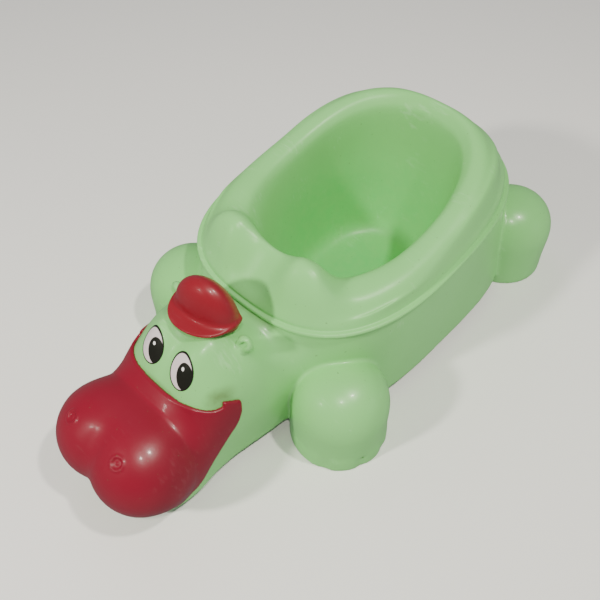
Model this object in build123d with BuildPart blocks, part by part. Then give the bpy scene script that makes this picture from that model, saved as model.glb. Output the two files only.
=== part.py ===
"""Animal-shaped potty training chair: body shell, lift-out seat with bowl,
clip-on muzzle cover, clip-on peaked cap and two eye decals.

Millimetres, +Z up.  The origin lies on the floor, under the centre of the
overall box.  The nose points to -Y and X = 0 is the plane of symmetry.
"""
import math
import os

from build123d import *

os.makedirs("parts", exist_ok=True)

# ------------------------------------------------------------ driving sizes
wall = 3.0                # moulded wall of body and seat
skin = 2.5                # moulded wall of the red covers
floor_gap = 12.0          # lower edge of the body above the floor

seat_w = 112.0            # half width of the seat flange
seat_yc = 70.5            # centre of the flange along Y
seat_l = 160.0            # half length of the flange
seat_n = 2.66             # fullness of the flange outline
seat_taper = -0.06        # the flange is a little narrower at the back
flange_lo, flange_hi = 121.5, 124.6
tub_top = 121.3
tub_w, tub_l, tub_r = 107.5, 156.0, 100.0      # body outline just below the flange
flare = 0.055             # outward lean of the body's wall

jaw_w = 53.0              # half width of the lower jaw
skull_w = 57.0            # half width of the head
skull_front = -182.0      # front of the head, behind the muzzle cover
brow_top = 138.0
brow_lean = 35.0          # slope of the forehead from upright, degrees

leg_r = 43.4              # domed legs
leg_h = 86.0
leg_front = (95.8, -67.2)
leg_rear = (86.6, 220.8)

lobe_c = (21.8, -223.8, 58.8)      # the two lobes of the nose
lobe_rad = 40.4
nostril = (28.7, -243.4)
nostril_r = 7.0

eye_c = (17.1, -165.3, 122.5)      # centre of an eye decal
eye_half = (12.5, 21.0)            # half width, half height
decal_t = 0.5

cap_c = (0.0, -117.0, 139.0)       # centre of the cap's dome
cap_r = (32.5, 14.5, 26.5)
peg_x, peg_r = (-13.0, 13.0), 2.5              # cap pegs
hook_x, hook_w, hook_t, hook_z = (-18.0, 18.0), 12.0, 2.5, 94.0   # muzzle clips


# ---------------------------------------------------------------- helpers
def ring(w, y_front, y_rear, n=2.66, taper=0.0, inset=0.0, count=28):
    """Points of a rounded outline, symmetric about X = 0."""
    yc = (y_front + y_rear) / 2
    ll = (y_rear - y_front) / 2 - inset
    ww = w - inset
    pts = []
    for i in range(count):
        a = 2 * math.pi * (i + 0.5) / count
        c, s = math.cos(a), math.sin(a)
        v = math.copysign(abs(s) ** (2 / n), s)
        x = ww * math.copysign(abs(c) ** (2 / n), c) * (1 + taper * v)
        pts.append((x, yc + ll * v))
    return pts


def loft_rings(levels):
    """Loft through closed outlines given as (z, points)."""
    with BuildPart() as body:
        for z, pts in levels:
            with BuildSketch(Plane.XY.offset(z)):
                with BuildLine():
                    Spline(*pts, periodic=True)
                make_face()
        loft()
    return body.part


# =====================================================================
# seat and bowl: one moulding, lifted out by its rim to be emptied
# =====================================================================
# outer skin of the raised rim: z, half width, front y, rear y
RIM = [
    (122.0, 107.0, -84.0, 225.0),
    (132.0, 104.5, -81.0, 221.5),
    (142.0, 101.0, -77.0, 215.0),
    (152.0, 97.0, -72.0, 206.0),
    (163.0, 92.0, -66.0, 194.0),
    (174.0, 86.0, -60.0, 182.5),
    (188.0, 78.0, -54.0, 172.0),
]
# side view of the rim's crest: y, z
CREST = [(-130.0, 139.0), (-60.0, 140.0), (-20.0, 143.5), (20.0, 147.0), (55.0, 151.0),
         (90.0, 160.0), (125.0, 169.0), (150.0, 177.0), (172.0, 183.5),
         (190.0, 186.0), (230.0, 187.0), (300.0, 187.0)]
# the bowl's inside: z, half width, front y, rear y
BOWL = [
    (19.5, 43.0, 20.0, 136.0),
    (24.0, 51.5, 10.0, 144.5),
    (34.0, 57.5, 2.0, 150.0),
    (75.0, 64.5, -12.0, 156.5),
    (125.0, 71.5, -27.0, 162.0),
    (150.0, 77.5, -37.0, 166.5),
    (210.0, 92.0, -52.0, 178.0),
]
# front view of the splash guard's two humps: x, z
HUMPS = [(0.0, 156.0), (12.0, 159.0), (24.0, 167.5), (35.0, 171.5), (46.0, 168.0),
         (57.0, 155.0), (68.0, 144.0), (80.0, 138.0), (100.0, 134.0)]


def rim_block(inset, drop):
    """Solid rim with its guard, shrunk by inset and lowered by drop."""
    rim_loft = loft_rings([(z, ring(w, yf, yr, 2.66, -0.05, inset)) for z, w, yf, yr in RIM])
    with BuildPart() as rim:
        add(rim_loft)
        # everything above the crest is cut away
        with BuildSketch(Plane.YZ):
            with BuildLine():
                s = Spline(*[(y, z - drop) for y, z in CREST])
                Polyline(s @ 1, (300, 300), (-130, 300), s @ 0)
            make_face()
        extrude(amount=160, both=True, mode=Mode.SUBTRACT)
    hump_pts = [(-x, z - drop) for x, z in reversed(HUMPS[1:])] + [(x, z - drop) for x, z in HUMPS]
    with BuildPart() as guard:
        # two humps, seen from the front
        with BuildSketch(Plane.XZ):
            with BuildLine():
                s = Spline(*hump_pts)
                Polyline(s @ 1, (100, 122), (-100, 122), s @ 0)
            make_face()
        extrude(amount=120)
        # side view: slopes down to the flange at the front, steep into the bowl
        with BuildSketch(Plane.YZ):
            with BuildLine():
                f = Spline((-84 + inset, 122), (-70 + inset, 143 - drop * 0.6), (-58 + inset, 163 - drop),
                           (-48, 172 - drop))
                Polyline(f @ 1, (-42, 172 - drop), (-31 - inset, 150), (-31 - inset, 122), f @ 0)
            make_face()
        extrude(amount=160, both=True, mode=Mode.INTERSECT)
        add(loft_rings([(120.0, ring(107.0, -84.0, 225.0, 2.66, -0.05, inset)),
                        (180.0, ring(95.0, -78.0, 225.0, 2.66, -0.05, inset))]), mode=Mode.INTERSECT)
    with BuildPart() as both_parts:
        add(rim.part)
        add(guard.part)
    return both_parts.part


def bowl_block(grow):
    return loft_rings([(z - grow if i == 0 else z, ring(w, yf, yr, 2.35, 0.0, -grow))
                       for i, (z, w, yf, yr) in enumerate(BOWL)])


rim_outer = rim_block(0.0, 0.0)
rim_hollow = rim_block(wall, wall)
bowl_outer = bowl_block(wall)
bowl_inner = bowl_block(0.0)

with BuildPart() as crest_space:
    # the space below the crest, which trims the bowl's wall
    with BuildSketch(Plane.YZ):
        with BuildLine():
            cs = Spline(*[(y, z - 0.4) for y, z in CREST])
            Polyline(cs @ 1, (300, 10), (-130, 10), cs @ 0)
        make_face()
    extrude(amount=160, both=True)

with BuildPart() as seat_bowl:
    add(rim_outer)
    add(rim_hollow, mode=Mode.SUBTRACT)
    with BuildPart(mode=Mode.PRIVATE) as dish:
        add(bowl_outer)
        add(crest_space.part, mode=Mode.INTERSECT)
    add(dish.part)
    # flange that rests on the body's top edge
    with BuildSketch(Plane.XY.offset(flange_lo)):
        with BuildLine():
            Spline(*ring(seat_w, seat_yc - seat_l, seat_yc + seat_l, seat_n, seat_taper), periodic=True)
        make_face()
        with BuildLine():
            Spline(*ring(seat_w, seat_yc - seat_l, seat_yc + seat_l, seat_n, seat_taper, 9.5), periodic=True)
        make_face(mode=Mode.SUBTRACT)
    extrude(amount=flange_hi - flange_lo)
    add(bowl_inner, mode=Mode.SUBTRACT)
seat_bowl.part.label = "seat_bowl"

# =====================================================================
# body shell: tub, neck, head and four domed legs in one moulding
# =====================================================================
def block(half_w, y_front, y_rear, r, z_low, z_high, inset=0.0, taper=0.0):
    """Upright prism with rounded corners; taper leans its walls inwards."""
    with BuildPart() as body:
        with BuildSketch(Plane.XY.offset(z_low)):
            with Locations((0, (y_front + y_rear) / 2)):
                RectangleRounded(2 * (half_w - inset), (y_rear - y_front) - 2 * inset, r - inset)
        extrude(amount=z_high - z_low, taper=taper)
    return body.part


def tub_block(inset, z_low, z_high):
    # the walls lean outwards a little towards the floor
    return block(tub_w + flare * (tub_top - z_low), seat_yc - tub_l - flare * (tub_top - z_low),
                 seat_yc + tub_l + flare * (tub_top - z_low), tub_r + flare * (tub_top - z_low),
                 z_low, z_high, inset, math.degrees(math.atan(flare)))


def head_blocks(inset, z_low):
    """Jaw, skull, forehead and neck."""
    return [
        block(jaw_w, -236.0, -60.0, 44.0, z_low, 46.0 - inset, inset),
        block(skull_w, skull_front, -50.0, 26.0, z_low, 100.0 - (0.01 if inset else 0.0), inset),
        block(skull_w, skull_front, -75.0, 26.0, 100.0 - (0.02 if inset else 0.0),
              brow_top - inset, inset, brow_lean),
        block(50.0, -120.0, -60.0, 12.0, z_low, tub_top - 0.1 - inset, inset),
    ]


def leg_block(x, y, r, z_low, h):
    """Domed leg: a short column with a round top."""
    with BuildPart() as leg:
        with BuildSketch(Plane.XY.offset(z_low)):
            with Locations((x, y)):
                Circle(r)
        extrude(amount=h - r - z_low)
        with Locations((x, y, h - r)):
            Sphere(r)
    return leg.part


leg_places = [(sx * x, y) for x, y in (leg_front, leg_rear) for sx in (-1, 1)]

with BuildPart() as body_shell:
    add(tub_block(0.0, floor_gap, tub_top))
    for b in head_blocks(0.0, floor_gap):
        add(b)
    for x, y in leg_places:
        add(leg_block(x, y, leg_r, 0.0, leg_h))
    # hollow inside, open below and open above for the seat
    add(tub_block(wall, floor_gap - 2, tub_top + 6), mode=Mode.SUBTRACT)
    for b in head_blocks(wall, floor_gap - 2):
        add(b, mode=Mode.SUBTRACT)
    for x, y in leg_places:
        add(leg_block(x, y, leg_r - wall, -2.0, leg_h - wall), mode=Mode.SUBTRACT)
    # holes that take the pegs of the muzzle cover and of the cap
    with BuildSketch(Plane.XY.offset(brow_top - 8.0)):
        with Locations(*[(x, cap_c[1]) for x in peg_x]):
            Circle(peg_r + 0.2)
    extrude(amount=12.0, mode=Mode.SUBTRACT)
    with BuildSketch(Plane.XZ.offset(-skull_front - 6.0)):
        with Locations(*[(x, hook_z) for x in hook_x]):
            Rectangle(hook_w + 0.6, hook_t + 0.6)
    extrude(amount=10.0, mode=Mode.SUBTRACT)
body_shell.part.label = "body_shell"

# =====================================================================
# muzzle cover: two round lobes, bridge and the corners of the smile
# =====================================================================
# side view of the lower edge of the cover: y, z
SMILE = [(-143.0, 97.0), (-148.0, 82.0), (-157.0, 67.0), (-171.0, 56.0), (-184.0, 44.0),
         (-196.0, 33.0), (-209.0, 27.0), (-224.0, 22.0), (-240.0, 18.0)]


def muzzle_blocks(inset):
    x, y, z = lobe_c
    out = [block(55.0, -236.0, skull_front + 1.0, 22.0, 10.0, 101.0 - inset, inset)]
    with BuildPart() as lobes:
        with Locations((x, y, z), (-x, y, z)):
            Sphere(lobe_rad - inset)
    out.append(lobes.part)
    return out


with BuildPart() as muzzle_cover:
    for b in muzzle_blocks(0.0):
        add(b)
    # band that hugs the cheeks and runs up to the corners of the smile
    add(block(skull_w + 0.3 + skin, skull_front - 0.3 - skin, -100.0, 28.8, 12.0, 101.0))
    for b in muzzle_blocks(skin):
        add(b, mode=Mode.SUBTRACT)
    add(block(skull_w + 0.3, skull_front - 0.3, -50.0, 26.3, 8.0, 130.0), mode=Mode.SUBTRACT)
    add(block(jaw_w + 0.3, -236.3, -60.0, 44.3, 8.0, 46.3), mode=Mode.SUBTRACT)
    # side view: the part above the smile line stays
    with BuildSketch(Plane.YZ):
        with BuildLine():
            e = Spline(*SMILE)
            Polyline(e @ 1, (-300.0, 18.0), (-300.0, 130.0), (-143.0, 130.0), e @ 0)
        make_face()
    extrude(amount=120, both=True, mode=Mode.INTERSECT)
    # nostrils
    with Locations(*[(sx * nostril[0], nostril[1] - 3.0, lobe_c[2] + 40.5) for sx in (-1, 1)]):
        Sphere(nostril_r, mode=Mode.SUBTRACT)
    # clips on the back edge, pushed through the head's slots
    with BuildSketch(Plane.XZ.offset(-skull_front - 5.0)):
        with Locations(*[(x, hook_z) for x in hook_x]):
            Rectangle(hook_w, hook_t)
    extrude(amount=5.0 + 3.5)
muzzle_cover.part.label = "muzzle_cover"

# =====================================================================
# peaked cap: hollow dome, brim and two pegs
# =====================================================================
with BuildPart() as peaked_cap:
    with BuildSketch(Plane.XY.offset(brow_top + 0.3)):
        with Locations((0, cap_c[1])):
            Ellipse(cap_r[0], cap_r[1] + 2.0)
    extrude(amount=cap_r[2], taper=22.0)
    fillet(peaked_cap.faces().sort_by(Axis.Z)[-1].edges(), 3.0)
    # brim, leaning forward and down over the forehead
    with BuildSketch(Plane((0, cap_c[1] - 2.0, brow_top + 1.0), x_dir=(1, 0, 0), z_dir=(0, 0, 1))):
        with Locations((0, -8.0)):
            Ellipse(cap_r[0] + 1.0, 18.0)
    extrude(amount=skin)
    with BuildSketch(Plane.XY.offset(brow_top + 0.3)):
        with Locations((0, cap_c[1])):
            Ellipse(cap_r[0] - skin, cap_r[1] + 2.0 - skin)
    extrude(amount=cap_r[2] - skin, taper=22.0, mode=Mode.SUBTRACT)
    # pegs
    with BuildSketch(Plane.XY.offset(brow_top - 7.0)):
        with Locations(*[(x, cap_c[1]) for x in peg_x]):
            Circle(peg_r)
    extrude(amount=7.0 + 25.5)
peaked_cap.part.label = "peaked_cap"

# =====================================================================
# eye decals: thin oval stickers on the forehead's front
# =====================================================================
lean = math.radians(brow_lean)
eye_y = skull_front + (eye_c[2] - 100.0) * math.tan(lean)
decals = {}
for name, sx in (("left_eye_decal", 1), ("right_eye_decal", -1)):
    with BuildPart() as decal:
        with BuildSketch(Plane((sx * eye_c[0], eye_y, eye_c[2]), x_dir=(1, 0, 0),
                               z_dir=(0, -math.cos(lean), math.sin(lean)))):
            Ellipse(*eye_half)
        extrude(amount=decal_t)
    decal.part.label = name
    decals[name] = decal.part

if __name__ == "__main__":
    export_step(seat_bowl.part, "parts/seat_bowl.step")
    export_step(body_shell.part, "parts/body_shell.step")
    export_step(muzzle_cover.part, "parts/muzzle_cover.step")
    export_step(peaked_cap.part, "parts/peaked_cap.step")
    for name, solid in decals.items():
        export_step(solid, f"parts/{name}.step")
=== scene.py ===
import math

import bpy
import numpy as np
from mathutils import Matrix, Vector


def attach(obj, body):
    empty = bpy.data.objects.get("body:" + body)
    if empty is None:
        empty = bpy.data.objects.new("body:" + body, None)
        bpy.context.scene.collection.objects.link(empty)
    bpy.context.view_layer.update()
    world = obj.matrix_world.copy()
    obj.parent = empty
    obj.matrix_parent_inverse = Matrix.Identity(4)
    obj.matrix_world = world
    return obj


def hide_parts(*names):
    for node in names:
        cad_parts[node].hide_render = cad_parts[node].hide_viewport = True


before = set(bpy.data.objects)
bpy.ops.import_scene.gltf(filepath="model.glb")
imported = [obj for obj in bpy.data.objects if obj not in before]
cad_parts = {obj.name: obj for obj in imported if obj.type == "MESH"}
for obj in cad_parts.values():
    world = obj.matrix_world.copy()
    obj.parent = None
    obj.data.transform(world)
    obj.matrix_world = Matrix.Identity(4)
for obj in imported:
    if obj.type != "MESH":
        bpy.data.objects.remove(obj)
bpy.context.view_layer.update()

# All shapes below are worked out in millimetres, with the seat's own origin
# YO in front of the frame's origin, and turned into metres at the end.
YO = -9.1


# ------------------------------------------------------------------ fields
def smin(a, b, k):
    h = np.clip(0.5 + 0.5 * (b - a) / k, 0.0, 1.0)
    return b * (1 - h) + a * h - k * h * (1 - h)


def smax(a, b, k):
    return -smin(-a, -b, k)


def sstep(x, a, b):
    t = np.clip((x - a) / (b - a), 0.0, 1.0)
    return t * t * (3 - 2 * t)


def bump(x, c, s):
    return np.exp(-((x - c) / s) ** 2)


class Curve:
    """Smooth curve through (y, value) knots: monotone cubic, with its slope."""

    def __init__(self, knots):
        k = sorted(knots)
        self.x = np.array([a for a, b in k], float)
        self.y = np.array([b for a, b in k], float)
        h = np.diff(self.x)
        d = np.diff(self.y) / h
        m = np.zeros_like(self.x)
        for i in range(1, len(m) - 1):
            if d[i - 1] * d[i] > 0:
                w1, w2 = 2 * h[i] + h[i - 1], h[i] + 2 * h[i - 1]
                m[i] = (w1 + w2) / (w1 / d[i - 1] + w2 / d[i])
        m[0], m[-1] = d[0], d[-1]
        self.m = m

    def __call__(self, q):
        q = np.clip(q, self.x[0], self.x[-1])
        i = np.clip(np.searchsorted(self.x, q, side="right") - 1, 0, len(self.x) - 2)
        h = self.x[i + 1] - self.x[i]
        t = (q - self.x[i]) / h
        a, b, c, d = self.y[i], self.y[i + 1], self.m[i] * h, self.m[i + 1] * h
        return (2 * t**3 - 3 * t**2 + 1) * a + (t**3 - 2 * t**2 + t) * c + (-2 * t**3 + 3 * t**2) * b + (t**3 - t**2) * d

    def slope(self, q):
        return (self(q + 0.5) - self(q - 0.5))


def sup2(u, v, W, L, n, Wp=0.0, Lp=0.0):
    """Distance to the rounded outline |u/W|^n + |v/L|^n = 1; Wp, Lp are slopes along the third axis."""
    a = np.abs(u) / W
    b = np.abs(v) / L
    r = (a**n + b**n) ** (1.0 / n) + 1e-6
    gx = (a / r) ** (n - 1) / W
    gy = (b / r) ** (n - 1) / L
    gz = gx * a * Wp + gy * b * Lp
    return (r - 1) / np.sqrt(gx**2 + gy**2 + gz**2 + 1e-9)


def ellipsoid(x, y, z, c, r):
    p = [(x - c[0]) / r[0], (y - c[1]) / r[1], (z - c[2]) / r[2]]
    k0 = np.sqrt(p[0] ** 2 + p[1] ** 2 + p[2] ** 2) + 1e-6
    k1 = np.sqrt((p[0] / r[0]) ** 2 + (p[1] / r[1]) ** 2 + (p[2] / r[2]) ** 2) + 1e-9
    return k0 * (k0 - 1.0) / k1


# ------------------------------------------------------------- body field
JAW_W = Curve([(-246, 8), (-244, 18), (-240, 27), (-234, 36), (-225, 45), (-214, 50.5), (-200, 53.5),
               (-188, 54), (-177, 53), (-164, 52), (-152.6, 52.3), (-141, 53.2), (-130.7, 54.8),
               (-119.8, 56.4), (-108.8, 58.1), (-97, 59.3), (-88, 61), (-75, 64), (-60, 68), (-45, 72), (0, 76)])
TOP_Z = Curve([(-246, 26), (-236, 34), (-222, 50), (-206, 66), (-190, 84), (-180, 95), (-172, 103),
               (-167, 109.5), (-157, 120.5), (-147, 129), (-138, 133.5), (-128, 135.5), (-118, 135.5),
               (-109, 132.5), (-100, 127), (-92, 123), (-84, 120.6), (-70, 119), (-45, 118), (0, 118)])


def head_field(x, y, z):
    ax = np.abs(x)
    w = JAW_W(y) + 4.0 * sstep(z, 8, 70) * sstep(y, -215, -180)
    wp = JAW_W.slope(y)
    lobe = bump(ax, 21.0, 12.0) * sstep(y, -174, -154) * (1 - sstep(y, -132, -106))
    brow = 5.6 * lobe - 2.0 * bump(ax, 0.0, 6.0) * sstep(y, -174, -160) * (1 - sstep(y, -138, -118))
    zt = TOP_Z(y) + brow
    zs = np.clip(TOP_Z(y) * 0.44, 8.0, 60.0)
    h = zt - zs
    hp = TOP_Z.slope(y)
    v = np.maximum(z - zs, 0.0)
    n = 2.5
    d = sup2(ax, v, w, h, n, wp, hp)
    # the jaw ends rounded in front, under the muzzle
    d = smax(d, -(y + 241.0), 8.0)
    return smax(d, y + 28.0, 6.0)


def tub_field(x, y, z, drop=0.0):
    t = np.clip((z - 12.0) / 109.0, -0.15, 1.05)
    W = 114.0 + (108.8 - 114.0) * t
    L = 164.5 + (157.0 - 164.5) * t
    yc = 83.0 + (79.6 - 83.0) * t
    n = 3.2 + (2.66 - 3.2) * t
    k = 0.02 + (-0.06 - 0.02) * t
    v = (y - yc) / L
    return sup2(np.abs(x), y - yc, W * (1 + k * np.clip(v, -1, 1)), L, n)


LEGS = [(95.8, -58.1, -90.0), (86.6, 229.5, 40.0)]
LEG_R = 43.4
LEG_Z = 43.0


def leg_field(x, y, z, grow=0.0, toes=True):
    ax = np.abs(x)
    out = None
    for cx, cy, face in LEGS:
        dx, dy = ax - cx, y - cy
        r = np.sqrt(dx * dx + dy * dy) + 1e-6
        zc = np.maximum(z - LEG_Z, 0.0)
        # dome with a slightly flatter crown
        q = (r**2.3 + (zc * 0.985) ** 2.3) ** (1 / 2.3)
        R = LEG_R + 0.9 * (1 - sstep(z, 0, 26))
        d = q - R
        if toes and cy < 0:
            # short grooves split the foot into toes
            ang = np.degrees(np.arctan2(dy, dx))
            low = 1 - sstep(z, 13, 20)
            cuts = 0
            for off in (-65.0, -22.0, 13.0):
                cuts = cuts + np.exp(-((((ang - off + 180) % 360) - 180) / 7.0) ** 2)
            swell = np.cos(np.clip((ang + 26.0) / 39.0, -1.5, 1.5) * np.pi) * 0.5 * (1 - sstep(np.abs(ang + 26.0), 55, 75))
            d = d + low * (1.3 * cuts + 0.5 * swell - 0.5)
        out = d if out is None else np.minimum(out, d)
    return out - grow


def ear_fields(x, y, z):
    ax = np.abs(x)
    # a small round cup that faces forwards and outwards
    rim = ellipsoid(ax, y, z, (39.8, -110.2, 133.0), (6.9, 5.2, 7.6))
    # its root, let into the head
    root = ellipsoid(ax, y, z, (37.6, -108.2, 124.5), (5.6, 4.8, 9.5))
    rim = smin(rim, root, 4.0)
    a, b = ax - 40.8, z - 134.6
    c, s = math.cos(0.62), math.sin(0.62)
    cup = ellipsoid(a * c - b * s, y, a * s + b * c, (0, -115.0, 0), (2.6, 4.6, 6.6))
    return rim, cup


def body_outer(x, y, z):
    """Closed outer form of tub, head and legs, without its lower cuts."""
    tub = smax(tub_field(x, y, z), z - 121.2, 1.5)
    head = head_field(x, y, z)
    th = smin(tub, head, 16.0)
    # the top of the neck runs level under the seat's flange
    return smax(th, z - 121.2 - 26.0 * (1 - sstep(y, -106, -83)), 3.0)


def seat_outline(x, y, W, L):
    return sup2(np.abs(x), y - 79.6, W * (1 - 0.06 * np.clip((y - 79.6) / L, -1, 1)), L, 2.66)


def body_field(x, y, z):
    th = body_outer(x, y, z)
    # a shelf at the top edge leaves room for the seat's flange
    shelf = np.maximum(seat_outline(x, y, 112.9, 160.9), 121.1 - z)
    th = smax(th, -shelf, 0.8)
    rim, cup = ear_fields(x, y, z)
    th = smin(th, rim, 4.0)
    th = smax(th, -cup, 1.2)
    leg = leg_field(x, y, z)
    low = smax(th, 12.0 - z, 1.2)
    legl = smax(leg, 0.15 - z, 1.0)
    outer = smin(low, legl, 3.5)
    # inner hollow, open below
    thin = body_outer(x, y, z) + 3.4 + 1.2 * (1 - sstep(y, -85, -60))
    g = np.minimum(np.maximum(thin, 10.5 - z), leg_field(x, y, z, toes=False) + 3.5)
    f = smax(outer, -g, 0.8)
    # opening for the seat's bowl
    f = smax(f, -np.maximum(seat_outline(x, y, 105.6, 153.8), 100.0 - z), 0.8)
    # notch beside each corner of the muzzle cover
    slot = np.maximum(np.maximum(np.abs(np.abs(x) - 57.0) - 5.0, np.abs(y + 145.6) - 3.0), np.abs(z - 102.6) - 1.5)
    return smax(f, -slot, 0.6)


# ------------------------------------------------------------ muzzle field
LOBE_C = (21.8, -214.8, 58.8)
LOBE_R = (42.4, 39.9, 40.3)
# side view of the cover's lower edge
SMILE = Curve([(-262, 13), (-245, 14), (-230, 16), (-214, 21), (-200, 27), (-187, 33), (-175, 45),
               (-162, 56.5), (-150, 67), (-141, 76), (-136, 86), (-133.5, 94), (-130, 110), (-100, 200)])
NOSE_W = Curve([(-235, 46), (-215, 54), (-200, 56), (-185, 56.5), (-172, 57.5), (-160, 58), (-100, 60)])
NOSE_Z = Curve([(-240, 92), (-225, 96.5), (-212, 98.2), (-200, 97.8), (-191, 97.0), (-186.5, 96.8), (-184, 97.4), (-181, 99.6),
                (-176, 102.6), (-172, 104.6), (-160, 108), (-100, 110)])
NOSTRIL = (28.7, -232.6, 93.8)


def muzzle_outer(x, y, z):
    ax = np.abs(x)
    lobe = ellipsoid(ax, y, z, LOBE_C, LOBE_R)
    # the two lobes meet in a soft cleft
    other = ellipsoid(-ax, y, z, LOBE_C, LOBE_R)
    lobes = smin(lobe, other, 7.0)
    w, h = NOSE_W(y), NOSE_Z(y) - 40.0
    bridge = sup2(ax, np.maximum(z - 40.0, 0.0), w, h, 2.6, NOSE_W.slope(y), NOSE_Z.slope(y))
    bridge = smax(bridge, -(y + 222.0), 18.0)
    return smin(lobes, bridge, 16.0)


def muzzle_field(x, y, z):
    ax = np.abs(x)
    m = muzzle_outer(x, y, z)
    head = head_field(x, y, z)
    # cheeks of the smile hug the head
    wing = head - 2.8
    face = -(172.3 + y) * 1.0            # front face of the brow: keeps y < -172.3
    face = (y + 172.3 + 0.30 * (z - 100.0)) / 1.045
    front = smax(m, face, 1.2)
    # the upper edge steps up at the corner of the mouth
    top = 104.0 - 5.5 * sstep(y, -172, -153) + 4.0 * sstep(y, -149.5, -146.5) - 6.0 * np.clip((y + 146.5) / 12.0, 0, 1)
    side = smax(smax(wing, z - top, 1.2), y + 134.5 - 0.15 * (z - 95.0), 1.2)
    side = smax(side, -(y + 200.0), 8.0)
    f = smin(front, side, 3.0)
    # nostrils: a raised ring round a shallow dish with a small nub
    dx, dy, dz = np.abs(x + 2.0) - NOSTRIL[0], y - NOSTRIL[1], z - NOSTRIL[2]
    nx, ny, nz = 0.10, -0.50, 0.86
    k = math.sqrt(nx * nx + ny * ny + nz * nz)
    nx, ny, nz = nx / k, ny / k, nz / k
    along = dx * nx + dy * ny + dz * nz
    rad = np.sqrt(np.maximum(dx * dx + dy * dy + dz * dz - along**2, 0.0))
    near = bump(along, 0.0, 9.0)
    f = f - near * (0.85 * bump(rad, 5.4, 0.95))
    f = f + near * 1.0 * (1 - sstep(rad, 2.8, 4.8))
    f = f - near * 0.7 * (1 - sstep(rad, 0.6, 2.2))
    # the cover's lower edge follows the smile curve
    smile = (SMILE(y) - z) / np.sqrt(1 + np.clip(SMILE.slope(y), -3, 3) ** 2)
    f = smax(f, smile, 1.2)
    # hollow inside: wall 2.4 mm, clear of the head by a hair
    f = smax(f, -(m + 2.6 + near * 2.4 * (1 - sstep(rad, 8.0, 12.0))), 0.8)
    f = smax(f, -(head - 0.12), 0.5)
    return f


# --------------------------------------------------------------- cap field
CAP = dict(c=(-2.5, -109.3, 142.0), a=29.5, b=30.5, yaw=0.20)


def cap_field(x, y, z):
    cx, cy, cz = CAP["c"]
    co, si = math.cos(CAP["yaw"]), math.sin(CAP["yaw"])
    u = (x - cx) * co + (y - cy) * si
    v = -(x - cx) * si + (y - cy) * co
    w = z - cz
    dome = ellipsoid(u, v, w, (1.2, -2.6, -1.0), (28.3, 16.4, 34.4))
    dome = smax(dome, -w - 7.0, 1.0)
    # brim: thin plate that bends down at its sides and front
    zb = 3.4 - 0.0030 * u * u - 0.0016 * np.minimum(v, 0.0) ** 2
    plan = sup2(u, np.minimum(v, 0.0), 30.5, 31.0, 2.2)
    plan = smax(plan, v - 4.0, 2.0)
    plate = np.abs(w - zb) / np.sqrt(1 + (0.006 * u) ** 2 + (0.0032 * v) ** 2) - 1.25
    brim = smax(plan, plate, 1.4)
    f = smin(dome, brim, 4.5)
    hollow = ellipsoid(u, v, w, (1.2, -2.6, -3.2), (25.8, 13.9, 33.6))
    return smax(f, -hollow, 0.8)


# ------------------------------------------------- surface from a field
CORNERS = [(i, j, k) for i in (0, 1) for j in (0, 1) for k in (0, 1)]
EDGES = []
for _c in CORNERS:
    for _d in range(3):
        if _c[_d] == 0:
            _q = list(_c)
            _q[_d] = 1
            EDGES.append((_d, _c, tuple(_q)))
EDGE_NO = {(d, a): i for i, (d, a, b) in enumerate(EDGES)}


def loop_table():
    """For each of the 256 sign patterns of a cell: which sheet of the surface each cut edge belongs to."""
    table = -np.ones((256, 12), np.int8)
    count = np.zeros(256, np.int64)
    cno = {c: i for i, c in enumerate(CORNERS)}
    faces = []
    for d in range(3):
        e1, e2 = (d + 1) % 3, (d + 2) % 3
        for side in (0, 1):
            ring = []
            for p in ((0, 0), (1, 0), (1, 1), (0, 1)):
                c = [0, 0, 0]
                c[d], c[e1], c[e2] = side, p[0], p[1]
                ring.append(tuple(c))
            faces.append(ring)

    def edge_between(a, b):
        d = [i for i in range(3) if a[i] != b[i]][0]
        return EDGE_NO[(d, a if a[d] == 0 else b)]

    for case in range(256):
        ins = [(case >> i) & 1 for i in range(8)]
        par = list(range(12))

        def find(i):
            while par[i] != i:
                i = par[i]
            return i

        cut = [i for i, (d, a, b) in enumerate(EDGES) if ins[cno[a]] != ins[cno[b]]]
        for ring in faces:
            ed = [edge_between(ring[i], ring[(i + 1) % 4]) for i in range(4)]
            hit = [i for i in range(4) if ed[i] in cut]
            if len(hit) == 2:
                par[find(ed[hit[0]])] = find(ed[hit[1]])
            elif len(hit) == 4:
                # each inside corner keeps its own piece
                for i in range(4):
                    if ins[cno[ring[i]]]:
                        par[find(ed[i])] = find(ed[i - 1])
        roots = sorted({find(i) for i in cut})
        for i in cut:
            table[case, i] = roots.index(find(i))
        count[case] = len(roots)
    return table, count


LOOPS, LOOP_N = loop_table()


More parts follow.
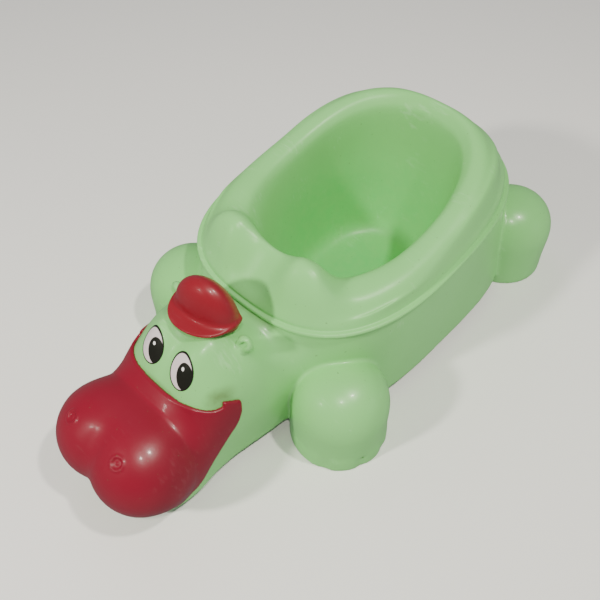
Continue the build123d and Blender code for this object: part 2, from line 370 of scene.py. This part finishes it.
def nets(field, lo, hi, h, name, steps=5):
    """Closed smooth mesh of field < 0 in the box lo..hi, sampled every h mm; thin walls keep their two faces."""
    lo, hi = np.array(lo, float), np.array(hi, float)
    n = np.ceil((hi - lo) / h).astype(int) + 1
    ax = [lo[i] + h * np.arange(n[i]) for i in range(3)]
    F = np.empty(tuple(n))
    Y, Z = np.meshgrid(ax[1], ax[2], indexing="ij")
    for i in range(0, n[0], 8):
        xs = ax[0][i:i + 8]
        X = np.broadcast_to(xs[:, None, None], (len(xs),) + Y.shape)
        F[i:i + 8] = field(X, np.broadcast_to(Y, X.shape), np.broadcast_to(Z, X.shape))
    F[np.abs(F) < 1e-5] = 1e-5
    S = F < 0
    case = np.zeros(tuple(n - 1), np.int64)
    for b, o in enumerate(CORNERS):
        case += S[o[0]:o[0] + n[0] - 1, o[1]:o[1] + n[1] - 1, o[2]:o[2] + n[2] - 1].astype(np.int64) << b
    act = np.argwhere((case > 0) & (case < 255))
    cs = case[act[:, 0], act[:, 1], act[:, 2]]
    num = LOOP_N[cs]
    first = np.concatenate([[0], np.cumsum(num)])
    total = first[-1]
    base = -np.ones(tuple(n - 1), np.int64)
    base[act[:, 0], act[:, 1], act[:, 2]] = first[:-1]
    acc = np.zeros((total, 3))
    cnt = np.zeros(total)
    for e, (d, p, q) in enumerate(EDGES):
        g = LOOPS[cs, e]
        on = g >= 0
        A = act[on]
        fa = F[A[:, 0] + p[0], A[:, 1] + p[1], A[:, 2] + p[2]]
        fb = F[A[:, 0] + q[0], A[:, 1] + q[1], A[:, 2] + q[2]]
        t = fa / (fa - fb)
        pos = A + np.array(p)
        pos = pos.astype(float)
        pos[:, d] += t
        v = first[:-1][on] + g[on]
        np.add.at(acc, v, pos)
        np.add.at(cnt, v, 1.0)
    P = lo + h * (acc / cnt[:, None])
    quads = []
    for d in range(3):
        e1, e2 = (d + 1) % 3, (d + 2) % 3
        sl0 = [slice(1, n[i] - 1) for i in range(3)]
        sl0[d] = slice(0, n[d] - 1)
        sl1 = list(sl0)
        sl1[d] = slice(1, n[d])
        s0, s1 = S[tuple(sl0)], S[tuple(sl1)]
        w = np.argwhere(s0 != s1)
        low_in = s0[w[:, 0], w[:, 1], w[:, 2]]
        g0 = w.copy()
        for i in range(3):
            if i != d:
                g0[:, i] += 1

        def at(da, db):
            c = g0.copy()
            c[:, e1] += da
            c[:, e2] += db
            corner = [0, 0, 0]
            corner[e1], corner[e2] = -da, -db
            e = EDGE_NO[(d, tuple(corner))]
            k = case[c[:, 0], c[:, 1], c[:, 2]]
            return base[c[:, 0], c[:, 1], c[:, 2]] + LOOPS[k, e]

        qd = np.stack([at(-1, -1), at(0, -1), at(0, 0), at(-1, 0)], 1)
        qd[~low_in] = qd[~low_in][:, ::-1]
        quads.append(qd)
    quads = np.concatenate(quads)
    for _ in range(steps):
        P = project(field, P, 0.3 * h)
    return P, quads


def grad(field, P, e=0.25):
    x, y, z = P[:, 0], P[:, 1], P[:, 2]
    gx = field(x + e, y, z) - field(x - e, y, z)
    gy = field(x, y + e, z) - field(x, y - e, z)
    gz = field(x, y, z + e) - field(x, y, z - e)
    return np.stack([gx, gy, gz], 1) / (2 * e)


def project(field, P, cap):
    f = field(P[:, 0], P[:, 1], P[:, 2])
    g = grad(field, P)
    g2 = (g**2).sum(1) + 1e-4
    s = f / g2
    step = g * s[:, None]
    L = np.linalg.norm(step, axis=1)
    k = np.minimum(1.0, cap / np.maximum(L, 1e-9))
    return P - step * (k * 0.8)[:, None]


def make(name, P, faces, mats, smooth=True):
    V = np.array(P, float)
    V = np.stack([V[:, 0], V[:, 1] + YO, V[:, 2]], 1) / 1000.0
    me = bpy.data.meshes.new(name)
    me.from_pydata(V.tolist(), [], [list(map(int, f)) for f in faces])
    me.validate()
    me.update()
    if smooth:
        me.shade_smooth()
    ob = bpy.data.objects.new(name, me)
    bpy.context.scene.collection.objects.link(ob)
    for m in mats:
        me.materials.append(m)
    return ob


# --------------------------------------------------------------- materials
def plastic(name, base, dark, rough=0.34, spec=0.5, scale=1.0, wear=0.5, sss=0.0, sss_color=(0.4, 0.7, 0.3), grime_and_shade_spots=None, coat=0.0):
    m = bpy.data.materials.new(name)
    m.use_nodes = True
    nt = m.node_tree
    N, Lk = nt.nodes, nt.links
    N.clear()
    out = N.new("ShaderNodeOutputMaterial")
    bs = N.new("ShaderNodeBsdfPrincipled")
    Lk.new(bs.outputs["BSDF"], out.inputs["Surface"])
    bs.inputs["Specular IOR Level"].default_value = spec
    bs.inputs["Coat Weight"].default_value = coat
    bs.inputs["Coat Roughness"].default_value = 0.12
    if sss:
        bs.inputs["Subsurface Weight"].default_value = sss
        bs.inputs["Subsurface Radius"].default_value = sss_color
        bs.inputs["Subsurface Scale"].default_value = 0.006
    tc = N.new("ShaderNodeTexCoord")
    # broad, faint unevenness of the moulded colour
    n1 = N.new("ShaderNodeTexNoise")
    n1.inputs["Scale"].default_value = 9.0 * scale
    n1.inputs["Detail"].default_value = 3.0
    Lk.new(tc.outputs["Object"], n1.inputs["Vector"])
    r1 = N.new("ShaderNodeMapRange")
    r1.interpolation_type = "SMOOTHSTEP"
    r1.inputs["From Min"].default_value = 0.25
    r1.inputs["From Max"].default_value = 0.75
    Lk.new(n1.outputs["Fac"], r1.inputs["Value"])
    mx = N.new("ShaderNodeMix")
    mx.data_type = "RGBA"
    mx.inputs["A"].default_value = (*base, 1)
    mx.inputs["B"].default_value = (*dark, 1)
    Lk.new(r1.outputs["Result"], mx.inputs["Factor"])
    colour = mx.outputs["Result"]
    # fine scuffs: short stretched marks, lighter and duller than the skin
    mp = N.new("ShaderNodeMapping")
    mp.inputs["Scale"].default_value = (60, 420, 160)
    mp.inputs["Rotation"].default_value = (0.3, 0.5, 0.7)
    Lk.new(tc.outputs["Object"], mp.inputs["Vector"])
    n2 = N.new("ShaderNodeTexNoise")
    n2.inputs["Scale"].default_value = 1.0
    n2.inputs["Detail"].default_value = 5.0
    Lk.new(mp.outputs["Vector"], n2.inputs["Vector"])
    n3 = N.new("ShaderNodeTexNoise")
    n3.inputs["Scale"].default_value = 26.0
    n3.inputs["Detail"].default_value = 2.0
    Lk.new(tc.outputs["Object"], n3.inputs["Vector"])
    mul = N.new("ShaderNodeMath")
    mul.operation = "MULTIPLY"
    Lk.new(n2.outputs["Fac"], mul.inputs[0])
    Lk.new(n3.outputs["Fac"], mul.inputs[1])
    r2 = N.new("ShaderNodeMapRange")
    r2.interpolation_type = "SMOOTHSTEP"
    r2.inputs["From Min"].default_value = 0.32
    r2.inputs["From Max"].default_value = 0.48
    r2.inputs["To Max"].default_value = wear
    Lk.new(mul.outputs["Value"], r2.inputs["Value"])
    mx2 = N.new("ShaderNodeMix")
    mx2.data_type = "RGBA"
    Lk.new(r2.outputs["Result"], mx2.inputs["Factor"])
    Lk.new(colour, mx2.inputs["A"])
    light = tuple(min(1.0, 0.25 + 0.8 * b) for b in base)
    mx2.inputs["B"].default_value = (*light, 1)
    colour = mx2.outputs["Result"]
    # specks of dirt
    vo = N.new("ShaderNodeTexNoise")
    vo.inputs["Scale"].default_value = 330.0
    vo.inputs["Detail"].default_value = 1.0
    Lk.new(tc.outputs["Object"], vo.inputs["Vector"])
    r3 = N.new("ShaderNodeMapRange")
    r3.inputs["From Min"].default_value = 0.755
    r3.inputs["From Max"].default_value = 0.80
    r3.inputs["To Max"].default_value = 0.45
    Lk.new(vo.outputs["Fac"], r3.inputs["Value"])
    mx3 = N.new("ShaderNodeMix")
    mx3.data_type = "RGBA"
    Lk.new(r3.outputs["Result"], mx3.inputs["Factor"])
    Lk.new(colour, mx3.inputs["A"])
    mx3.inputs["B"].default_value = (0.10, 0.11, 0.05, 1)
    colour = mx3.outputs["Result"]
    # spots of another colour: some dirt, and painted shade in seams, beside notches and inside the bowl
    for (cx, cy, cz), (sx, sy, sz), col, amount in (grime_and_shade_spots or []):
        sp = N.new("ShaderNodeMapping")
        sp.vector_type = "POINT"
        sp.inputs["Location"].default_value = (-cx / sx, -cy / sy, -cz / sz)
        sp.inputs["Scale"].default_value = (1 / sx, 1 / sy, 1 / sz)
        Lk.new(tc.outputs["Object"], sp.inputs["Vector"])
        ln = N.new("ShaderNodeVectorMath")
        ln.operation = "LENGTH"
        Lk.new(sp.outputs["Vector"], ln.inputs[0])
        rr = N.new("ShaderNodeMapRange")
        rr.interpolation_type = "SMOOTHSTEP"
        rr.inputs["From Min"].default_value = 1.0
        rr.inputs["From Max"].default_value = 0.2
        rr.inputs["To Max"].default_value = amount
        Lk.new(ln.outputs["Value"], rr.inputs["Value"])
        nd = N.new("ShaderNodeTexNoise")
        nd.inputs["Scale"].default_value = 120.0
        nd.inputs["Detail"].default_value = 4.0
        Lk.new(tc.outputs["Object"], nd.inputs["Vector"])
        mm = N.new("ShaderNodeMath")
        mm.operation = "MULTIPLY"
        Lk.new(rr.outputs["Result"], mm.inputs[0])
        Lk.new(nd.outputs["Fac"], mm.inputs[1])
        mxx = N.new("ShaderNodeMix")
        mxx.data_type = "RGBA"
        Lk.new(mm.outputs["Value"], mxx.inputs["Factor"])
        Lk.new(colour, mxx.inputs["A"])
        mxx.inputs["B"].default_value = (*col, 1)
        colour = mxx.outputs["Result"]
    Lk.new(colour, bs.inputs["Base Color"])
    # roughness: duller in the scuffs and in faint clouds
    r4 = N.new("ShaderNodeMapRange")
    r4.interpolation_type = "SMOOTHSTEP"
    r4.inputs["From Min"].default_value = 0.15
    r4.inputs["From Max"].default_value = 0.85
    r4.inputs["To Min"].default_value = rough - 0.03
    r4.inputs["To Max"].default_value = rough + 0.05
    Lk.new(n3.outputs["Fac"], r4.inputs["Value"])
    ad = N.new("ShaderNodeMath")
    ad.operation = "MULTIPLY_ADD"
    ad.inputs[1].default_value = 0.35
    Lk.new(r2.outputs["Result"], ad.inputs[0])
    Lk.new(r4.outputs["Result"], ad.inputs[2])
    Lk.new(ad.outputs["Value"], bs.inputs["Roughness"])
    # slight orange peel of the moulded skin
    n5 = N.new("ShaderNodeTexNoise")
    n5.inputs["Scale"].default_value = 520.0
    n5.inputs["Detail"].default_value = 2.0
    Lk.new(tc.outputs["Object"], n5.inputs["Vector"])
    n6 = N.new("ShaderNodeTexNoise")
    n6.inputs["Scale"].default_value = 38.0
    n6.inputs["Detail"].default_value = 2.0
    Lk.new(tc.outputs["Object"], n6.inputs["Vector"])
    ma = N.new("ShaderNodeMath")
    ma.operation = "MULTIPLY_ADD"
    ma.inputs[1].default_value = 6.0
    Lk.new(n6.outputs["Fac"], ma.inputs[0])
    Lk.new(n5.outputs["Fac"], ma.inputs[2])
    bp = N.new("ShaderNodeBump")
    bp.inputs["Strength"].default_value = 0.12
    bp.inputs["Distance"].default_value = 0.0004
    Lk.new(ma.outputs["Value"], bp.inputs["Height"])
    Lk.new(bp.outputs["Normal"], bs.inputs["Normal"])
    return m


def lin(r, g, b):
    f = lambda c: (c / 255 / 12.92) if c / 255 <= 0.04045 else ((c / 255 + 0.055) / 1.055) ** 2.4
    return (f(r), f(g), f(b))


GREEN = (0.237, 0.640, 0.202)
GREEN_D = (0.219, 0.610, 0.182)
RED = (0.230, 0.0045, 0.022)
RED_D = (0.200, 0.0035, 0.018)

# dark grime colour, used both as dirt and as painted shade in seams and notches
SHADE_AND_GRIME = (0.09, 0.10, 0.035)
mat_body = plastic("green_plastic_body", GREEN, GREEN_D, rough=0.33, coat=0.10, wear=0.25, grime_and_shade_spots=[
    # dirt and painted shade beside the notches at the two corners of the mouth, a painted shadow line along the upper
    # edge of the muzzle cover, and painted shade under the front of the seat's flange
    ((0.050, -0.158, 0.106), (0.017, 0.020, 0.011), SHADE_AND_GRIME, 1.0),
    ((-0.050, -0.158, 0.106), (0.017, 0.020, 0.011), SHADE_AND_GRIME, 1.0),
    ((0.0, -0.1815, 0.103), (0.052, 0.0045, 0.007), SHADE_AND_GRIME, 0.9),
    ((0.02, -0.088, 0.122), (0.085, 0.008, 0.008), SHADE_AND_GRIME, 0.5),
])
mat_seat = plastic("green_plastic_seat", GREEN, GREEN_D, rough=0.35, spec=0.42, wear=0.30, grime_and_shade_spots=[
    # painted shade: the inside of the bowl is tinted a deeper, more saturated green that stands for its shade and the
    # green light bounced inside it
    ((0.0, 0.075, 0.070), (0.110, 0.125, 0.105), (0.120, 0.620, 0.165), 1.75),
])
mat_red = plastic("red_plastic_muzzle", RED, RED_D, rough=0.37, spec=0.50, wear=0.06, coat=0.16)
mat_cap = plastic("red_plastic_cap", (0.250, 0.009, 0.020), (0.222, 0.007, 0.016), rough=0.37, spec=0.50, wear=0.06, coat=0.16)


# ------------------------------------------------------------------ seat
def outline(theta, W, yf, yr, n, k=0.0):
    c, s = np.cos(theta), np.sin(theta)
    yc, L = (yf + yr) / 2, (yr - yf) / 2
    v = np.sign(s) * np.abs(s) ** (2 / n)
    x = W * np.sign(c) * np.abs(c) ** (2 / n) * (1 + k * v)
    return x, yc + L * v


# crest height along the sides and the back
CREST = Curve([(-90, 139), (-45, 140), (-20, 142.5), (5, 145.5), (30, 148.0), (55, 151.5), (80, 156.0), (100, 161.0),
               (120, 166.8), (140, 173.0), (158, 178.3), (172, 181.5), (186, 183.6), (200, 184.0), (230, 184.0)])


HUMP = Curve([(0, 157), (12, 159.5), (24, 166), (31, 170.4), (36, 172), (41, 171.3), (46, 167.0), (52, 158.0), (58, 149.5),
              (64, 143.5), (71, 140.2), (82, 139), (120, 139)])


def guard_add(x, c, h, p, wide):
    """Height added in front by the splash guard: c at the middle, h at its two humps, falling to 0 outside them."""
    ax = np.abs(x)
    t = np.clip((HUMP(ax) - 157.0) / 15.0, 0.0, 1.0)
    # the humps' outer ends run down and outwards
    far = ax * wide
    q = np.clip((HUMP(far) - 139.0) / 33.0, 0.0, 1.0)
    return np.where(ax < 36.0, c + (h - c) * t, np.where(far < 36.0, h, h * q**p))


# outer wall, crest and lip, one row a ring: half width, front y, rear y, roundness, taper,
# 1 = measured from the crest, height, more at the back, more in front, then the guard's c, h, p
WALL = [
    (105.9, -76.0, 231.0, 2.66, -0.050, 0, 131.0, 6.0, -2.5, (-0.8, 0.5, 1.0, 0.68)),
    (104.8, -71.5, 220.5, 2.66, -0.055, 0, 136.0, 9.0, -6.0, (0.2, 6.5, 1.2, 0.69)),
    (102.3, -65.8, 210.5, 2.66, -0.065, 1, -8.0, -17.0, -1.2, (2.2, 17.8, 1.7, 0.69)),
    (98.2, -59.2, 202.0, 2.60, -0.055, 1, -3.0, -16.0, 0.0, (1.2, 23.5, 1.7, 0.73)),
    (92.2, -51.0, 194.0, 2.60, -0.040, 1, -0.4, -9.5, 0.0, (5.8, 29.5, 1.7, 0.81)),
    (85.7, -43.0, 187.0, 2.50, -0.035, 1, 0.0, -3.5, 0.0, (13.2, 32.5, 1.5, 0.91)),
    (80.0, -37.4, 181.5, 2.45, -0.030, 1, -1.6, -2.5, 0.0, (18.2, 31.2, 1.8, 1.0)),
    (76.4, -33.2, 176.5, 2.40, -0.020, 1, -6.0, -6.0, 0.0, (16.5, 26.0, 2.4, 1.0)),
    (73.8, -29.8, 173.8, 2.35, 0.000, 1, -14.0, -10.0, 0.0, (9.5, 14.5, 2.6, 1.0)),
]


def seat_rings(theta, wall=WALL):
    """Rings of the seat's upper skin, from the flange's lower edge over the crest into the bowl."""
    rings = []

    def add(W, yf, yr, n, k, zf):
        x, y = outline(theta, W, yf, yr, n, k)
        rings.append(np.stack([x, y, zf(x, y)], 1))

    flat = lambda z: (lambda x, y: np.full_like(x, z))
    for W, z in ((108.2, 121.25), (110.6, 121.25), (111.9, 121.8), (112.1, 123.1), (111.5, 124.4), (110.3, 124.9),
                 (108.9, 125.0), (107.9, 125.3), (107.2, 126.3)):
        d = 112.0 - W
        add(W, -80.4 + d * 0.85, 239.6 - d, 2.66, -0.06, flat(z))
    back = lambda y: sstep(y, 95, 235)
    g = lambda x, y: 1 - sstep(y, -50, 0)
    for W, yf, yr, n, k, crest, z0, zb, zg, gd in wall:
        add(W, yf, yr, n, k, lambda x, y: crest * CREST(y) + z0 + zb * back(y) + g(x, y) * (zg + guard_add(x, *gd)))
    add(71.5, -25.5, 172.0, 2.35, 0.0, lambda x, y: 121.0 + 6 * back(y))
    add(68.0, -17.0, 169.3, 2.35, 0.0, flat(98.0))
    add(64.5, -4.0, 166.0, 2.35, 0.0, flat(72.0))
    add(60.5, 5.0, 162.0, 2.3, 0.0, flat(48.0))
    add(57.8, 10.5, 159.3, 2.3, 0.0, flat(35.0))
    add(54.4, 15.2, 155.8, 2.3, 0.0, flat(26.5))
    add(49.0, 21.0, 150.4, 2.25, 0.0, flat(21.4))
    add(42.0, 29.0, 143.5, 2.2, 0.0, flat(19.7))
    add(30.0, 43.0, 128.0, 2.1, 0.0, flat(19.4))
    add(15.0, 63.0, 107.0, 2.0, 0.0, flat(19.4))
    add(4.0, 79.0, 91.0, 2.0, 0.0, flat(19.4))
    return np.array(rings)


def through(P, rounds=3):
    """Control rings whose spline runs through the given rings, or nearly."""
    C = P.copy()
    for _ in range(rounds):
        E = np.concatenate([C[:1], C, C[-1:]])
        C = C + (P - (E[:-2] + 4 * E[1:-1] + E[2:]) / 6)
    return C


def bspline(ctrl, per):
    """Uniform cubic B-spline through rows of control rings, per samples a span, clamped at both ends."""
    C = np.concatenate([ctrl[:1], ctrl[:1], ctrl, ctrl[-1:], ctrl[-1:]])
    out = []
    m = len(C) - 3
    for i in range(m):
        k = per if i < m - 1 else per + 1
        for j in range(k):
            t = j / per
            b = ((1 - t) ** 3 / 6, (3 * t**3 - 6 * t * t + 4) / 6, (-3 * t**3 + 3 * t * t + 3 * t + 1) / 6, t**3 / 6)
            out.append(b[0] * C[i] + b[1] * C[i + 1] + b[2] * C[i + 2] + b[3] * C[i + 3])
    return np.array(out)


def build_seat():
    nt = 288
    # even steps all round: the warp that would crowd them round the splash guard's front is scaled to nothing
    th = np.linspace(0, 2 * np.pi, nt, endpoint=False) + np.pi / nt
    th = th + 0.12 * np.sin(2 * (th + np.pi / 2)) * 0.0
    rings = seat_rings(th)
    S = bspline(through(rings), 3)
    rows = len(S)
    P = S.reshape(-1, 3)
    F = []
    for r in range(rows - 1):
        for i in range(nt):
            j = (i + 1) % nt
            F.append((r * nt + i, r * nt + j, (r + 1) * nt + j, (r + 1) * nt + i))
    c = len(P)
    P = np.vstack([P, [[0, 85.0, 19.4]]])
    last = (rows - 1) * nt
    for i in range(nt):
        F.append((last + i, last + (i + 1) % nt, c))
    ob = make("seat_and_bowl", P, F, [mat_seat])
    so = ob.modifiers.new("wall", "SOLIDIFY")
    so.thickness = 0.0026
    so.offset = -1.0
    so.use_rim = True
    return ob


seat = build_seat()
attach(seat, "seat")
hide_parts("seat_bowl")

H = 2.0
P, Q = nets(body_field, (-144, -258, -4), (144, 280, 150), 1.13 * H, "body")
body = make("body_shell_moulding", P, Q, [mat_body])
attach(body, "root")
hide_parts("body_shell")

P, Q = nets(muzzle_field, (-68, -260, 8), (68, -126, 112), H * 0.6, "muzzle")
muzzle = make("muzzle_cover_moulding", P, Q, [mat_red])
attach(muzzle, "root")
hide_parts("muzzle_cover")

P, Q = nets(cap_field, (-40, -148, 126), (38, -90, 176), H * 0.45, "cap")
cap = make("peaked_cap_moulding", P, Q, [mat_cap])
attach(cap, "root")
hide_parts("peaked_cap")


# ------------------------------------------------------------- eye decals
def eye_material(name, spec):
    m = bpy.data.materials.new(name)
    m.use_nodes = True
    nt = m.node_tree
    N, Lk = nt.nodes, nt.links
    N.clear()
    out = N.new("ShaderNodeOutputMaterial")
    bs = N.new("ShaderNodeBsdfPrincipled")
    Lk.new(bs.outputs["BSDF"], out.inputs["Surface"])
    bs.inputs["Specular IOR Level"].default_value = 0.22
    at = N.new("ShaderNodeAttribute")
    at.attribute_name = "print_xy"

    def oval(cx, cy, rx, ry, soft):
        mp = N.new("ShaderNodeMapping")
        mp.inputs["Location"].default_value = (-cx / rx, -cy / ry, 0)
        mp.inputs["Scale"].default_value = (1 / rx, 1 / ry, 0)
        Lk.new(at.outputs["Vector"], mp.inputs["Vector"])
        ln = N.new("ShaderNodeVectorMath")
        ln.operation = "LENGTH"
        Lk.new(mp.outputs["Vector"], ln.inputs[0])
        r = N.new("ShaderNodeMapRange")
        r.inputs["From Min"].default_value = 1.0 + soft
        r.inputs["From Max"].default_value = 1.0 - soft
        Lk.new(ln.outputs["Value"], r.inputs["Value"])
        return r.outputs["Result"]

    def over(a, b, fac):
        x = N.new("ShaderNodeMix")
        x.data_type = "RGBA"
        if isinstance(a, tuple):
            x.inputs["A"].default_value = (*a, 1)
        else:
            Lk.new(a, x.inputs["A"])
        x.inputs["B"].default_value = (*b, 1)
        Lk.new(fac, x.inputs["Factor"])
        return x.outputs["Result"]

    black = (0.011, 0.012, 0.009)
    white = lin(214, 204, 208)
    tc = N.new("ShaderNodeTexCoord")
    n = N.new("ShaderNodeTexNoise")
    n.inputs["Scale"].default_value = 260.0
    n.inputs["Detail"].default_value = 3.0
    Lk.new(tc.outputs["Object"], n.inputs["Vector"])
    a, b = spec["oval"][:2]
    base = over(black, white, oval(0.05, -0.35, a - 1.15, b - 1.35, 0.018))
    g = N.new("ShaderNodeMix")
    g.data_type = "RGBA"
    g.blend_type = "MULTIPLY"
    g.inputs["Factor"].default_value = 0.22
    Lk.new(base, g.inputs["A"])
    rr = N.new("ShaderNodeMapRange")
    rr.inputs["From Min"].default_value = 0.3
    rr.inputs["From Max"].default_value = 0.7
    rr.inputs["To Min"].default_value = 0.7
    Lk.new(n.outputs["Fac"], rr.inputs["Value"])
    cmb = N.new("ShaderNodeCombineColor")
    for s in ("Red", "Green", "Blue"):
        Lk.new(rr.outputs["Result"], cmb.inputs[s])
    Lk.new(cmb.outputs["Color"], g.inputs["B"])
    col = over(g.outputs["Result"], black, oval(*spec["pupil"], 0.02))
    col = over(col, (0.9, 0.9, 0.9), oval(*spec["glint"], 0.10))
    Lk.new(col, bs.inputs["Base Color"])
    r = N.new("ShaderNodeMapRange")
    r.inputs["To Min"].default_value = 0.30
    r.inputs["To Max"].default_value = 0.48
    Lk.new(n.outputs["Fac"], r.inputs["Value"])
    Lk.new(r.outputs["Result"], bs.inputs["Roughness"])
    bp = N.new("ShaderNodeBump")
    bp.inputs["Strength"].default_value = 0.08
    bp.inputs["Distance"].default_value = 0.0002
    Lk.new(n.outputs["Fac"], bp.inputs["Height"])
    Lk.new(bp.outputs["Normal"], bs.inputs["Normal"])
    return m


# each print: outline (half width, half height, lean in degrees, centre), pupil and glint in the outline's own axes
PRINTS = {
    1: dict(oval=(11.3, 15.5, -19.0, -1.04, -0.56), pupil=(3.9, -3.95, 7.35, 11.3), glint=(2.66, 2.26, 1.25, 1.6)),
    -1: dict(oval=(11.8, 15.5, -33.0, -1.75, 0.15), pupil=(4.6, -4.6, 7.4, 10.9), glint=(3.5, 1.3, 1.2, 1.5)),
}
EYE_C = (17.3, -156.5, 122.5)


def head_skin(x, y, z):
    return body_outer(x, y, z)


def build_eye(name, side, node):
    spec = PRINTS[side]
    a, b, lean, cx, cy = spec["oval"]
    c = np.array([side * EYE_C[0], EYE_C[1], EYE_C[2]])
    # the print's own plane: faces forwards, up and a little outwards
    nrm = np.array([side * 0.10, -0.70, 0.70])
    nrm /= np.linalg.norm(nrm)
    right = np.cross(np.array([0, 0, 1.0]), -nrm)
    right /= np.linalg.norm(right)
    right = right if right[0] > 0 else -right
    up = np.cross(nrm, right)
    up = up if up[2] > 0 else -up
    co, si = math.cos(math.radians(lean)), math.sin(math.radians(lean))
    rings, seg = 16, 96
    st = [(0.0, 0.0)]
    for i in range(1, rings + 1):
        for j in range(seg):
            t = 2 * math.pi * j / seg
            st.append((a * i / rings * math.cos(t), b * i / rings * math.sin(t)))
    st = np.array(st)
    u = cx + st[:, 0] * co + st[:, 1] * si
    v = cy - st[:, 0] * si + st[:, 1] * co
    P = c + u[:, None] * right + v[:, None] * up + nrm * 6.0
    for _ in range(30):
        P = P - nrm * (head_skin(P[:, 0], P[:, 1], P[:, 2]) * 0.8)[:, None]
    P = P + nrm * 0.14
    F = []
    for j in range(seg):
        F.append((0, 1 + j, 1 + (j + 1) % seg))
    for i in range(rings - 1):
        for j in range(seg):
            p, q = 1 + i * seg + j, 1 + i * seg + (j + 1) % seg
            F.append((p, p + seg, q + seg, q))
    ob = make(name, P, F, [eye_material(name + "_print", spec)])
    att = ob.data.attributes.new("print_xy", "FLOAT_VECTOR", "POINT")
    data = np.zeros((len(P), 3), np.float32)
    data[:, :2] = st
    att.data.foreach_set("vector", data.ravel())
    so = ob.modifiers.new("film", "SOLIDIFY")
    so.thickness = 0.00022
    so.offset = 1.0
    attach(ob, "root")
    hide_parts(node)
    return ob


build_eye("eye_sticker_left", 1, "left_eye_decal")
build_eye("eye_sticker_right", -1, "right_eye_decal")


# -------------------------------------------------- floor, lights, camera
def floor_and_light():
    bpy.ops.mesh.primitive_plane_add(size=8.0, location=(0, 0, 0))
    fl = bpy.context.object
    fl.name = "floor"
    m = bpy.data.materials.new("pale_floor")
    m.use_nodes = True
    b = m.node_tree.nodes["Principled BSDF"]
    b.inputs["Base Color"].default_value = (0.88, 0.88, 0.875, 1)
    b.inputs["Roughness"].default_value = 0.8
    fl.data.materials.append(m)
    fl.visible_glossy = False
    w = bpy.data.worlds.new("studio")
    bpy.context.scene.world = w
    w.use_nodes = True
    bg = w.node_tree.nodes["Background"]
    bg.inputs["Color"].default_value = (1.0, 1.0, 1.0, 1)
    bg.inputs["Strength"].default_value = 0.23

    def area(name, loc, target, size, power, color=(1, 1, 1)):
        d = bpy.data.lights.new(name, "AREA")
        d.shape = "DISK"
        d.size = size
        d.energy = power
        d.color = color
        o = bpy.data.objects.new(name, d)
        o.location = loc
        o.rotation_euler = (Vector(target) - Vector(loc)).to_track_quat("-Z", "Y").to_euler()
        bpy.context.scene.collection.objects.link(o)
        return o

    # two lamps overhead, a key from in front, a broad fill that leaves no reflection
    warm = (1.0, 0.95, 0.84)
    area("lamp_a", (0.62, 0.16, 1.50), (0, 0, 0.08), 0.09, 13.5, warm)
    area("lamp_b", (0.52, -0.50, 1.48), (0, 0, 0.08), 0.09, 8.5, warm)
    key = area("key", (-0.30, -1.28, 1.05), (0, 0, 0.08), 0.15, 17.0, warm)
    key.visible_glossy = False
    area("key_glow", (-0.30, -1.28, 1.05), (0, 0, 0.08), 0.10, 3.2, warm)
    fill = area("fill", (-1.3, 0.5, 1.7), (0, 0, 0.08), 1.2, 5.0, (0.94, 0.98, 1.0))
    fill.visible_glossy = False
    low = area("fill_low", (1.5, 0.7, 0.45), (0, 0, 0.08), 0.8, 4.5, (1.0, 0.98, 0.96))
    low.visible_glossy = False


floor_and_light()


def camera():
    az, el, roll, f, D = 43.32, 51.08, -0.38, 650.0, 594.06
    tx, ty = 11.96, -19.35
    a, e, r = (math.radians(v) for v in (az, el, roll))
    back = Vector((math.sin(a) * math.cos(e), -math.cos(a) * math.cos(e), math.sin(e)))
    right = Vector((math.cos(a), math.sin(a), 0.0))
    up = back.cross(right)
    C = Vector((tx, ty + YO, 80.0)) / 1000.0 + back * (D / 1000.0)
    X = right * math.cos(r) + up * math.sin(r)
    Y = -right * math.sin(r) + up * math.cos(r)
    M = Matrix(((X.x, Y.x, back.x, C.x), (X.y, Y.y, back.y, C.y), (X.z, Y.z, back.z, C.z), (0, 0, 0, 1)))
    cd = bpy.data.cameras.new("camera")
    cd.sensor_width = 36.0
    cd.lens = f * 36.0 / 600.0
    cd.clip_start = 0.01
    o = bpy.data.objects.new("camera", cd)
    o.matrix_world = M
    bpy.context.scene.collection.objects.link(o)
    bpy.context.scene.camera = o


camera()

bpy.context.view_layer.update()
